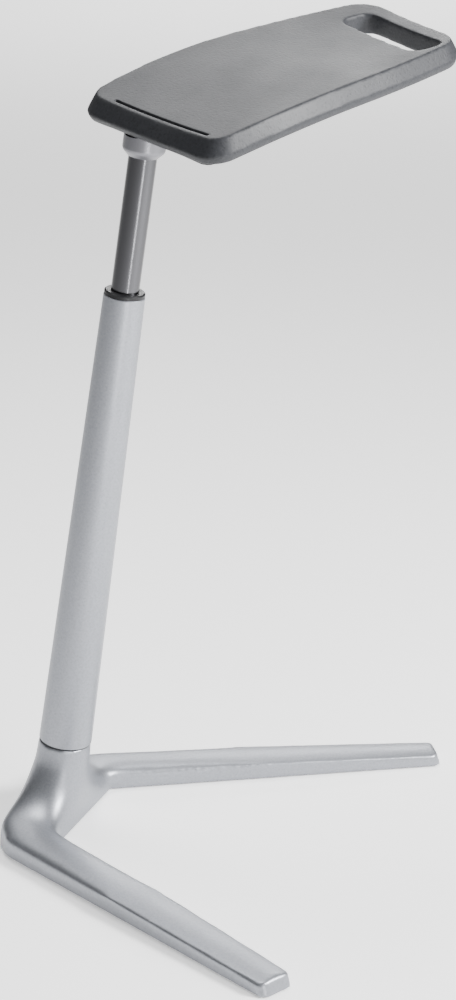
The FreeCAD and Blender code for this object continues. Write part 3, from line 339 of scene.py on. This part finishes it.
def discard(*used: bpy.types.Object) -> None:
    """Remove helper objects and their meshes."""
    for helper in used:
        data = helper.data
        bpy.data.objects.remove(helper)
        bpy.data.meshes.remove(data)


def even_shape(blank: bpy.types.Object, voxel: float,
               cutters: tuple[bpy.types.Object, ...] = ()) -> bmesh.types.BMesh:
    """Cut a blank and remesh it evenly, and discard the blank and its cutters.

    Args:
        blank: The closed form to start from.
        voxel: Size of the remesh's cells.
        cutters: Objects taken away from the blank.

    Returns:
        The even mesh.
    """
    for cutter in cutters:
        cut = blank.modifiers.new(cutter.name, "BOOLEAN")
        cut.operation = "DIFFERENCE"
        cut.solver = "EXACT"
        cut.object = cutter
    even = blank.modifiers.new("even", "REMESH")
    even.mode = "VOXEL"
    even.voxel_size = voxel
    graph = bpy.context.evaluated_depsgraph_get()
    mesh = bpy.data.meshes.new_from_object(blank.evaluated_get(graph))
    discard(blank, *cutters)
    shape = bmesh.new()
    shape.from_mesh(mesh)
    bpy.data.meshes.remove(mesh)
    return shape


def soften(shape: bmesh.types.BMesh, verts: list[bmesh.types.BMVert], rounds: int) -> None:
    """Move vertices half-way towards their neighbours' middle, again and again.

    Args:
        shape: The mesh that holds them.
        verts: The vertices that may move.
        rounds: How many times they move.
    """
    for _ in range(rounds):
        bmesh.ops.smooth_vert(shape, verts=verts, factor=HALF_WAY, use_axis_x=True, use_axis_y=True,
                              use_axis_z=True)


def smooth_object(shape: bmesh.types.BMesh, name: str, finish: Finish) -> bpy.types.Object:
    """Turn a finished mesh into a smooth-shaded object with its material.

    Args:
        shape: The mesh, which is freed.
        name: Name of the object.
        finish: Finish of its whole surface.

    Returns:
        The new object.
    """
    for face in shape.faces:
        face.smooth = True
    made = to_object(shape, name)
    made.data.materials.append(finish.build())
    LOG.info("%s: %d faces", made.name, len(made.data.polygons))
    return made


def share_of(value: float) -> float:
    """Keep a value within 0 and 1."""
    return min(max(value, 0.0), 1.0)


def round_off(shape: bmesh.types.BMesh, corners: list[bmesh.types.BMVert],
              radius: float) -> list[bmesh.types.BMVert]:
    """Round corners of a flat face.

    Args:
        shape: The mesh that holds them.
        corners: The vertices at the corners.
        radius: Radius of the round, which is measured as the bevel's offset.

    Returns:
        The vertices of the new corners.
    """
    made = bmesh.ops.bevel(shape, geom=corners, offset=radius, offset_type="OFFSET", profile=HALF_WAY,
                           segments=CORNER_SEGMENTS, affect="VERTICES", material=-1)
    return made["verts"]


def largest(faces: Iterable[bmesh.types.BMFace]) -> bmesh.types.BMFace:
    """The face with the largest area."""
    return max(faces, key=lambda item: item.calc_area())


# Foam seat


@dataclass(frozen=True)
class OutlineLevel:
    """One closed outline of the seat: how far it stands outside the rim, how deep and how round.

    Attributes:
        front: Growth past the front rim.
        rear: Growth past the rear rim.
        side: Growth past the side rims.
        depth: Depth under the rim.
        front_corner: Radius of the front corners.
        rear_corner: Radius of the rear corners.
    """

    front: float
    rear: float
    side: float
    depth: float
    front_corner: float
    rear_corner: float


@dataclass
class SeatFoam:
    """Moulded foam seat, drawn flat along its spine and then bent and placed.

    Lengths run back from the front rim along the spine, widths across it, and heights up from the rim.

    Attributes:
        length: Length of the top from rim to rim.
        bend_radius: Radius of the bend down towards the front.
        bend_length: How far back the bend reaches.
        front_half: Half the width of the top in front.
        middle_half: Half its width in the middle.
        rear_half: Half its width at the rear.
        front_skew: Angle of the front rim in plan.
        rear_skew: Angle of the rear rim in plan.
        dish: Depth of the hollow along the middle.
        edge: Depth of the foam's edge.
        slot_start: Length at which the handle slot begins.
        slot_width: Size of the slot along the seat.
        slot_half: Half its size across the seat.
        slot_shift: How far its middle lies off the seat's.
        slot_corner: Radius of its corners.
        groove_setback: Distance of the groove from the front rim.
        groove_width: Width of the groove.
        groove_depth: Depth of the groove.
        groove_shift: How far its middle lies off the seat's.
        groove_half: Half its length.
        groove_spread: Groove widths that the finer mesh reaches to each side.
        groove_steepness: Power that shapes the groove's walls.
        groove_cuts: Cuts in each edge of the finer mesh.
        top_skin: Depth under the rim that still counts as the top.
        pocket_start: Length at which the pocket for the hidden parts begins.
        pocket_end: Length at which it ends.
        pocket_half: Half its width.
        pocket_corner: Radius of its corners.
        pocket_depth: Depth of its roof under the rim.
        cutter_low: Height at which both cutters begin, below the foam.
        cutter_high: Height at which the slot's cutter ends, above the foam.
        long_edge: Length from which an edge of an outline counts as a side or an end.
        side_cuts: Cuts in each such edge.
        same_height: Difference below which two heights are the same.
        voxel: Size of the remesh's cells.
        softening: Rounds of smoothing.
        swivel: Turn of the seat about the column at rest.
        pitch: Tilt of the seat against the column.
        axis_height: Distance from the hub's ring to the seat along the column's axis.
        setback: Distance of the column from the front rim.
        offset: Distance of the column from the seat's middle line.
        levels: Outlines of the form, from the rim down.
    """

    length: float = 0.339
    bend_radius: float = 1.100
    bend_length: float = 0.183
    front_half: float = 0.0913
    middle_half: float = 0.0940
    rear_half: float = 0.0734
    front_skew: float = math.radians(2.6)
    rear_skew: float = math.radians(4.8)
    dish: float = 0.003
    edge: float = 0.024
    slot_start: float = 0.2795
    slot_width: float = 0.040
    slot_half: float = 0.0605
    slot_shift: float = -0.009
    slot_corner: float = 0.013
    groove_setback: float = 0.0055
    groove_width: float = 0.0024
    groove_depth: float = 0.0028
    groove_shift: float = -0.007
    groove_half: float = 0.066
    groove_spread: float = 1.6
    groove_steepness: int = 4
    groove_cuts: int = 3
    top_skin: float = 0.004
    pocket_start: float = -0.0013
    pocket_end: float = 0.262
    pocket_half: float = 0.0715
    pocket_corner: float = 0.012
    pocket_depth: float = 0.0143
    cutter_low: float = -0.05
    cutter_high: float = 0.03
    long_edge: float = 0.06
    side_cuts: int = 24
    same_height: float = 0.00001
    voxel: float = 0.0019
    softening: int = 3
    swivel: float = math.radians(60.5)
    pitch: float = math.radians(21.7)
    axis_height: float = 0.6845
    setback: float = 0.020
    offset: float = 0.026
    levels: tuple[OutlineLevel, ...] = (
        OutlineLevel(0.0, 0.0, 0.0, 0.0, 0.017, 0.027),
        OutlineLevel(0.0133, 0.0080, 0.0082, 0.0156, 0.025, 0.035),
        OutlineLevel(0.0103, 0.0050, 0.0052, 0.0240, 0.022, 0.032),
    )

    def half_width(self, along: float) -> float:
        """Half the width of the top at a length from the front rim.

        Args:
            along: The length.

        Returns:
            Half the width, on the curve through the front, middle and rear widths.
        """
        share = along / self.length
        front = self.front_half * (1 - share) * (1 - 2 * share)
        middle = 4 * self.middle_half * share * (1 - share)
        return front + middle + self.rear_half * share * (2 * share - 1)

    def matrix(self) -> Matrix:
        """Place the flat seat on the leaning column.

        Returns:
            The matrix that turns, tilts and moves it.
        """
        lean = Matrix.Translation((0, 0, RING_HEIGHT)) @ Matrix.Rotation(COLUMN_LEAN, 4, "Y")
        turn = Matrix.Translation((0, 0, self.axis_height)) @ Matrix.Rotation(self.swivel, 4, "Z")
        tilt = Matrix.Rotation(-self.pitch, 4, "Y") @ Matrix.Translation((-self.setback, -self.offset, 0))
        return lean @ turn @ tilt

    def bent(self, flat: Vector) -> Vector:
        """Bend a flat point along the spine.

        Args:
            flat: Length, width and height of the point, with the rim at height 0.

        Returns:
            The point in the seat frame.
        """
        bend = min(flat.x, self.bend_length) / self.bend_radius
        straight = max(flat.x - self.bend_length, 0.0)
        x = self.bend_radius * math.sin(bend) + straight * math.cos(bend) + flat.z * math.sin(bend)
        z = self.bend_radius * (math.cos(bend) - 1) - straight * math.sin(bend) + flat.z * math.cos(bend)
        return Vector((x, flat.y, z))

    def outline(self, shape: bmesh.types.BMesh, level: OutlineLevel) -> list[bmesh.types.BMEdge]:
        """Draw one closed outline with rounded corners and bowed sides.

        Args:
            shape: The mesh that takes the outline.
            level: Which outline.

        Returns:
            The outline's edges, with one face inside them.
        """
        made = bmesh.ops.create_grid(shape, x_segments=1, y_segments=1, size=1.0)["verts"]
        for vert in made:
            side = math.copysign(1.0, vert.co.y)
            if vert.co.x < 0:
                half = self.half_width(0.0) + level.side
                along = -level.front - side * half * math.tan(self.front_skew)
            else:
                half = self.half_width(self.length) + level.side
                lag = side * half * math.tan(self.rear_skew)
                along = self.length + level.rear + lag
            vert.co = Vector((along, side * half, -level.depth))
        face = made[0].link_faces[0]
        middle = self.length / 2
        for at_front, radius in ((True, level.front_corner), (False, level.rear_corner)):
            corners = [vert for vert in face.verts if (vert.co.x < middle) == at_front]
            face = largest(item for vert in round_off(shape, corners, radius) for item in vert.link_faces)
        long_edges = [edge for edge in face.edges if edge.calc_length() > self.long_edge]
        bmesh.ops.subdivide_edges(shape, edges=long_edges, cuts=self.side_cuts)
        face = largest(item for vert in face.verts for item in vert.link_faces)
        front_half = self.half_width(0.0) + level.side
        rear_half = self.half_width(self.length) + level.side
        for vert in face.verts:
            share = share_of(vert.co.x / self.length)
            straight = front_half + (rear_half - front_half) * share
            bowed = self.half_width(share * self.length) + level.side
            vert.co.y *= bowed / straight
        return list(face.edges)

    def blank(self) -> bpy.types.Object:
        """Build the closed outer form of the foam, drawn flat.

        Returns:
            An object with the form.
        """
        shape = bmesh.new()
        loops = [self.outline(shape, level) for level in self.levels]
        inner = [face for face in shape.faces
                 if abs(face.calc_center_median().z + self.levels[1].depth) < self.same_height]
        bmesh.ops.delete(shape, geom=inner, context="FACES_ONLY")
        for upper, lower in zip(loops, loops[1:]):
            bmesh.ops.bridge_loops(shape, edges=[edge for edge in upper + lower if edge.is_valid])
        bmesh.ops.recalc_face_normals(shape, faces=shape.faces)
        return to_object(shape, "foam_blank")

    def prism(self, name: str, corners: list[tuple[float, float]], radius: float, low: float, high: float,
              turn: float = 0.0, about: float = 0.0) -> bpy.types.Object:
        """Build an upright rounded prism to cut with.

        Args:
            name: Name of the object.
            corners: Lowest and highest length and width.
            radius: Radius of its upright edges.
            low: Lowest height.
            high: Highest height.
            turn: Angle that it is turned by.
            about: Length of the point that it is turned about.

        Returns:
            An object with the prism.
        """
        shape = bmesh.new()
        verts = bmesh.ops.create_grid(shape, x_segments=1, y_segments=1, size=1.0)["verts"]
        (x0, y0), (x1, y1) = corners
        for vert in verts:
            vert.co = Vector((x0 if vert.co.x < 0 else x1, y0 if vert.co.y < 0 else y1, low))
        round_off(shape, verts, radius)
        grown = bmesh.ops.extrude_face_region(shape, geom=list(shape.faces))
        moved = [item for item in grown["geom"] if isinstance(item, bmesh.types.BMVert)]
        bmesh.ops.translate(shape, vec=(0, 0, high - low), verts=moved)
        if turn:
            rotation = Matrix.Rotation(turn, 3, "Z")
            bmesh.ops.rotate(shape, cent=(about, 0, 0), matrix=rotation, verts=shape.verts)
        bmesh.ops.recalc_face_normals(shape, faces=shape.faces)
        return to_object(shape, name)

    def moulded(self) -> bmesh.types.BMesh:
        """Cut the slot and the pocket, and remesh the foam evenly.

        Returns:
            The even mesh, still drawn flat.
        """
        blank = self.blank()
        near = self.slot_shift - self.slot_half
        far = self.slot_shift + self.slot_half
        slot_plan = [(self.slot_start, near), (self.slot_start + self.slot_width, far)]
        slot = self.prism("slot_cutter", slot_plan, self.slot_corner, self.cutter_low, self.cutter_high,
                          -self.rear_skew, self.slot_start)
        pocket_plan = [(self.pocket_start, -self.pocket_half), (self.pocket_end, self.pocket_half)]
        pocket = self.prism("pocket_cutter", pocket_plan, self.pocket_corner, self.cutter_low,
                            -self.pocket_depth)
        return even_shape(blank, self.voxel, (slot, pocket))

    def groove_distance(self, point: Vector) -> float:
        """How far a flat point lies from the middle line of the front groove.

        Args:
            point: Length, width and height of the point.

        Returns:
            The distance in plan.
        """
        lag = -point.y * math.tan(self.front_skew)
        past = max(abs(point.y - self.groove_shift) - self.groove_half + self.groove_width / 2, 0.0)
        return math.hypot(point.x - lag - self.groove_setback, past)

    def by_groove(self, point: Vector) -> bool:
        """Tell whether a flat point lies on the top and near enough to the groove to need a finer mesh.

        Args:
            point: Length, width and height of the point.

        Returns:
            True where the mesh is made finer.
        """
        reach = self.groove_width * self.groove_spread
        return point.z > -self.top_skin and self.groove_distance(point) < reach + self.voxel

    def drop(self, point: Vector) -> float:
        """How far the dish and the groove lower a flat point.

        Args:
            point: Length, width and height of the point.

        Returns:
            The drop, which fades out down the foam's edge.
        """
        half = self.half_width(min(max(point.x, 0.0), self.length))
        hollow = self.dish * max(1 - (point.y / half) ** 2, 0.0)
        height = share_of(1 + point.z / self.edge)
        drop = hollow * height * height
        if point.z > -self.top_skin:
            away = self.groove_distance(point) / (self.groove_width / 2)
            drop += self.groove_depth / (1 + away ** self.groove_steepness)
        return drop

    def build(self) -> bpy.types.Object:
        """Build the finished foam.

        Returns:
            The foam, in its place on the column.
        """
        shape = self.moulded()
        soften(shape, list(shape.verts), self.softening)
        grooved = [edge for edge in shape.edges if all(self.by_groove(vert.co) for vert in edge.verts)]
        bmesh.ops.subdivide_edges(shape, edges=grooved, cuts=self.groove_cuts, use_grid_fill=True)
        place = self.matrix()
        for vert in shape.verts:
            point = vert.co
            vert.co = place @ self.bent(Vector((point.x, point.y, point.z - self.drop(point))))
        foam = smooth_object(shape, "moulded_seat", SEAT_FOAM)
        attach(foam, "seat")
        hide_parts("seat_cushion")
        return foam


# Cast foot


@dataclass
class FootCasting:
    """Cast foot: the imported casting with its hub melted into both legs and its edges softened.

    Attributes:
        voxel: Size of the remesh's cells.
        softening: Rounds of smoothing over the whole casting above its underside.
        sole: Height of the underside's band, which isn't smoothed.
        rounds: Rounds of smoothing in each step of the melting.
        steps: Steps of the melting, each over a smaller part of the hub.
        reach: Distance from the hub within which points melt fully.
        fade: Distance over which the melting fades out along the legs.
        ring_gap: Distance under the ring that stays as it is.
        ring_fade: Distance over which the melting sets in below that.
        floor_gap: Height over the floor that stays as it is.
        floor_fade: Height over which the melting sets in above that.
        leg_angle: Angle of each leg from the plane of symmetry.
        corner_centre: Centre of a heel corner's larger radius, in plan, on the side of the negative widths.
        corner_radius: The larger radius.
        old_reach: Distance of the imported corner's outer face from that centre.
        core: Distance from that centre within which points stay.
    """

    voxel: float = 0.0018
    softening: int = 6
    sole: float = 0.006
    rounds: int = 12
    steps: int = 16
    reach: float = 0.100
    fade: float = 0.130
    ring_gap: float = 0.008
    ring_fade: float = 0.016
    floor_gap: float = 0.002
    floor_fade: float = 0.012
    leg_angle: float = math.radians(28.6)
    corner_centre: tuple[float, float] = (0.020, -0.0554)
    corner_radius: float = 0.066
    old_reach: float = 0.0709
    core: float = 0.046

    def freedom(self, point: Vector) -> float:
        """How freely a point may melt: fully round the hub, not at the ring, the floor or out on the legs.

        Args:
            point: A point of the casting.

        Returns:
            A share from 0 to 1.
        """
        legs = (self.reach + self.fade - math.hypot(point.x, point.y)) / self.fade
        axis = Vector((math.sin(COLUMN_LEAN), 0.0, math.cos(COLUMN_LEAN)))
        below = -(point - Vector((0.0, 0.0, RING_HEIGHT))).dot(axis)
        ring = (below - self.ring_gap) / self.ring_fade
        floor = (point.z - self.floor_gap) / self.floor_fade
        return share_of(legs) * share_of(ring) * share_of(floor)

    def rounded(self, point: Vector) -> Vector:
        """Pull a point near a heel corner inside the corner's larger radius.

        Args:
            point: A point of the casting.

        Returns:
            The point, moved in plan if it lies between the corner's two straight faces.
        """
        side = math.copysign(1.0, -point.y)
        out = Vector((point.x - self.corner_centre[0], side * point.y - self.corner_centre[1]))
        along_back = Vector((-1.0, 0.0))
        along_leg = Vector((-math.sin(self.leg_angle), -math.cos(self.leg_angle)))
        between = along_back.cross(out) > 0 and out.cross(along_leg) > 0
        if not between or out.length < self.core:
            return point
        edges = [self.corner_radius * out.length / out.dot(normal) for normal in (along_back, along_leg)]
        limit = min(edges + [self.old_reach])
        share = (self.corner_radius - self.core) / (limit - self.core)
        length = self.core + (out.length - self.core) * share
        moved = out.normalized() * length
        return Vector((moved.x + self.corner_centre[0], side * (moved.y + self.corner_centre[1]), point.z))

    def build(self, finish: Finish) -> bpy.types.Object:
        """Build the finished casting.

        Args:
            finish: Finish of the casting.

        Returns:
            The casting, in its place.
        """
        packed = bmesh.new()
        packed.from_mesh(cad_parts["foot_casting"].data)
        shape = even_shape(to_object(packed, "casting_blank"), self.voxel)
        for vert in shape.verts:
            vert.co = self.rounded(vert.co)
        soften(shape, [vert for vert in shape.verts if vert.co.z > self.sole], self.softening)
        for step in range(1, self.steps):
            free = [vert for vert in shape.verts if self.freedom(vert.co) > step / self.steps]
            soften(shape, free, self.rounds)
        casting = smooth_object(shape, "cast_foot", finish)
        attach(casting, "foot")
        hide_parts("foot_casting")
        return casting


# Studio


@dataclass(frozen=True)
class SoftBox:
    """One soft area light.

    Attributes:
        name: Name of the light.
        place: Where it hangs.
        aim: What it points at.
        width: Size across.
        height: Size up.
        power: Power in watts.
    """

    name: str
    place: Point
    aim: Point
    width: float
    height: float
    power: float

    def hang(self) -> None:
        """Add the light to the scene."""
        light = bpy.data.lights.new(self.name, "AREA")
        light.shape = "RECTANGLE"
        light.size = self.width
        light.size_y = self.height
        light.energy = self.power
        lamp = bpy.data.objects.new(self.name, light)
        lamp.location = self.place
        lamp.rotation_euler = (Vector(self.place) - Vector(self.aim)).to_track_quat("Z", "Y").to_euler()
        bpy.context.scene.collection.objects.link(lamp)


@dataclass
class Studio:
    """Pale floor, soft light and the camera at the photograph's angle.

    Attributes:
        camera_place: Where the camera stands.
        turn: Its turn about the upright axis.
        down: How far it looks down.
        lens: Its focal length in millimetres.
        view_end: Distance past which it sees nothing.
        floor_half: Half the size of the square floor.
        floor_place: The point that the floor is laid about.
        floor_colour: The floor's colour.
        floor_roughness: Its roughness.
        floor_shine: Its specular level.
        floor_glow: Strength of its own light.
        white: Colour of that light and of the sky.
        sky: Strength of the sky.
        boxes: The soft lights.
    """

    camera_place: Point = (0.99029, -2.22281, 1.19157)
    turn: float = math.radians(19.99783)
    down: float = math.radians(19.01435)
    lens: float = 91.057
    view_end: float = 60.0
    floor_half: float = 55.0
    floor_place: Point = (0.2, -0.06, 0.0)
    floor_colour: Colour = (0.93, 0.93, 0.93, 1.0)
    floor_roughness: float = 0.9
    floor_shine: float = 0.1
    floor_glow: float = 0.5
    white: Colour = (1.0, 1.0, 1.0, 1.0)
    sky: float = 0.12
    boxes: tuple[SoftBox, ...] = (
        SoftBox("key_box", (2.2, -1.5, 2.0), (0.1, 0.0, 0.45), 0.8, 1.1, 30.0),
        SoftBox("side_box", (2.2, 0.0, 1.55), (0.2, 0.1, 0.75), 0.7, 0.9, 170.0),
        SoftBox("streak_box", (0.94, -1.0, 0.25), (0.1, 0.0, 0.65), 0.10, 0.5, 4.5),
        SoftBox("top_box", (-0.5, 0.5, 2.6), (0.0, 0.0, 0.2), 0.9, 0.9, 48.0),
        SoftBox("floor_box", (-1.6, 6.5, 3.2), (-1.4, 5.6, 0.0), 3.0, 2.0, 260.0),
        SoftBox("rear_box", (-0.35, 1.35, 2.2), (0.1, 0.1, 0.6), 1.5, 1.1, 9.0),
    )

    def lay_floor(self) -> None:
        """Lay the pale floor."""
        shape = bmesh.new()
        bmesh.ops.create_grid(shape, x_segments=1, y_segments=1, size=self.floor_half)
        bmesh.ops.rotate(shape, cent=(0, 0, 0), matrix=Matrix.Rotation(self.turn, 3, "Z"), verts=shape.verts)
        bmesh.ops.translate(shape, vec=self.floor_place, verts=shape.verts)
        floor = to_object(shape, "studio_floor")
        material = bpy.data.materials.new("studio_paper")
        material.use_nodes = True
        shader = material.node_tree.nodes["Principled BSDF"]
        shader.inputs["Base Color"].default_value = self.floor_colour
        shader.inputs["Roughness"].default_value = self.floor_roughness
        shader.inputs["Specular IOR Level"].default_value = self.floor_shine
        shader.inputs["Emission Color"].default_value = self.white
        shader.inputs["Emission Strength"].default_value = self.floor_glow
        floor.data.materials.append(material)

    def light(self) -> None:
        """Set the sky and hang the lights."""
        world = bpy.data.worlds.new("studio_sky")
        world.use_nodes = True
        sky = world.node_tree.nodes["Background"]
        sky.inputs["Color"].default_value = self.white
        sky.inputs["Strength"].default_value = self.sky
        bpy.context.scene.world = world
        for box in self.boxes:
            box.hang()

    def aim_camera(self) -> None:
        """Place the camera."""
        lens = bpy.data.cameras.new("photo_camera")
        lens.lens = self.lens
        lens.clip_end = self.view_end
        camera = bpy.data.objects.new("photo_camera", lens)
        camera.location = self.camera_place
        camera.rotation_euler = (math.pi / 2 - self.down, 0.0, self.turn)
        bpy.context.scene.collection.objects.link(camera)
        bpy.context.scene.camera = camera

    def build(self) -> None:
        """Build the whole studio."""
        self.lay_floor()
        self.light()
        self.aim_camera()


def main() -> None:
    """Dress the stool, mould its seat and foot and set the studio."""
    logging.basicConfig(level=logging.INFO, format="%(message)s")
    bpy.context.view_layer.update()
    Wardrobe().dress()
    SeatFoam().build()
    FootCasting().build(SILVER_COAT)
    Studio().build()


if __name__ == "__main__":
    main()
